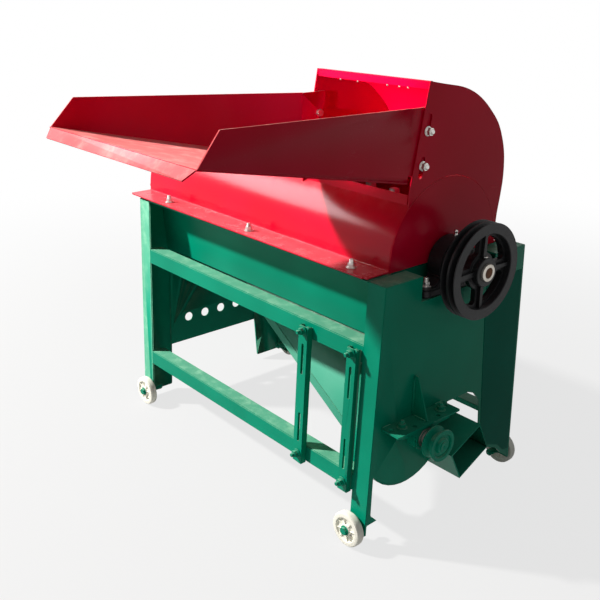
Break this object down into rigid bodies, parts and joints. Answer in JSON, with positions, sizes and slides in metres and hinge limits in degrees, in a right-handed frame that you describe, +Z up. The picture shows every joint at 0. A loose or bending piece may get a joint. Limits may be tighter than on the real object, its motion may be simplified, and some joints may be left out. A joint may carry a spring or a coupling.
{
  "type": "maize threshing machine",
  "caption": "Small maize thresher: a toothed drum over a slotted screen in a steel frame on wheels, with feed tray, hood, grain slide, fan casing and belt pulleys.",
  "frame": {"origin": "bottom centre of the whole machine, on the floor under the middle of its bounding box", "axes": "+Z up, +X along the drum towards the belt pulleys, -Y towards the feed tray"},
  "size_m": [0.889, 0.7584, 0.764],
  "materials": {
    "red_paint": "gloss",
    "green_paint": "semi-gloss",
    "black_paint": "satin",
    "bare_steel": "satin",
    "zinc_plate": "satin",
    "nylon": "satin"
  },
  "bodies": {
    "frame": {"drum_cover": "red_paint", "hood_side_right": "red_paint", "hood_side_left": "red_paint", "hood_shell": "red_paint", "feed_tray": "red_paint", "threshing_screen": "bare_steel", "end_plate_right": "green_paint", "end_plate_left": "green_paint", "rail_front_upper": "green_paint", "rail_front_lower": "green_paint", "rail_back_upper": "green_paint", "rail_back_lower": "green_paint", "motor_bar_left": "green_paint", "motor_bar_right": "green_paint", "side_sheet_front": "green_paint", "side_sheet_back": "green_paint", "trough_end_sheet": "green_paint", "grain_slide": "green_paint", "cob_guard_sheet": "green_paint", "bearing_bridge_left": "green_paint", "fan_casing": "green_paint", "fan_shelf": "green_paint", "fan_bearing": "green_paint", "bar_bolt_left_upper": "green_paint", "bar_bolt_left_lower": "green_paint", "bar_bolt_right_upper": "green_paint", "bar_bolt_right_lower": "green_paint", "cover_bolt_front_1": "zinc_plate", "cover_bolt_front_2": "zinc_plate", "cover_bolt_front_3": "zinc_plate", "cover_bolt_back_1": "zinc_plate", "cover_bolt_back_2": "zinc_plate", "cover_bolt_back_3": "zinc_plate", "tray_bolt_right_upper": "zinc_plate", "tray_bolt_right_lower": "zinc_plate", "tray_bolt_left_upper": "zinc_plate", "tray_bolt_left_lower": "zinc_plate", "fan_bolt_front": "green_paint", "fan_bolt_back": "green_paint", "wheel_bolt_left_front": "green_paint", "wheel_bolt_left_back": "green_paint", "wheel_bolt_right_front": "green_paint", "wheel_bolt_right_back": "green_paint", "drum_bearing_right": "black_paint", "drum_bearing_left": "black_paint"},
    "drum_rotor": {"drum_shaft": "bare_steel", "drum_tube": "bare_steel", "drum_bar_1": "bare_steel", "drum_bar_2": "bare_steel", "drum_bar_3": "bare_steel", "drum_bar_4": "bare_steel", "main_pulley": "black_paint"},
    "fan_rotor": {"fan_shaft": "bare_steel", "fan_impeller": "bare_steel", "fan_pulley": "green_paint"},
    "caster_left_front": {"wheel_left_front": "nylon"},
    "caster_left_back": {"wheel_left_back": "nylon"},
    "caster_right_front": {"wheel_right_front": "nylon"},
    "caster_right_back": {"wheel_right_back": "nylon"}
  },
  "joints": [
    {"name": "drum_spin", "type": "hinge", "parent": "frame", "child": "drum_rotor", "pos_m": [0.0015, 0.15384, 0.475], "axis": [1, 0, 0], "continuous": true},
    {"name": "fan_spin", "type": "hinge", "parent": "frame", "child": "fan_rotor", "pos_m": [0.0015, 0.05784, 0.199], "axis": [1, 0, 0], "continuous": true},
    {"name": "wheel_left_front_roll", "type": "hinge", "parent": "frame", "child": "caster_left_front", "pos_m": [-0.3395, -0.05816, 0.0325], "axis": [0, 1, 0], "continuous": true},
    {"name": "wheel_left_back_roll", "type": "hinge", "parent": "frame", "child": "caster_left_back", "pos_m": [-0.3395, 0.36584, 0.0325], "axis": [0, 1, 0], "continuous": true},
    {"name": "wheel_right_front_roll", "type": "hinge", "parent": "frame", "child": "caster_right_front", "pos_m": [0.3425, -0.05816, 0.0325], "axis": [0, 1, 0], "continuous": true},
    {"name": "wheel_right_back_roll", "type": "hinge", "parent": "frame", "child": "caster_right_back", "pos_m": [0.3425, 0.36584, 0.0325], "axis": [0, 1, 0], "continuous": true}
  ]
}
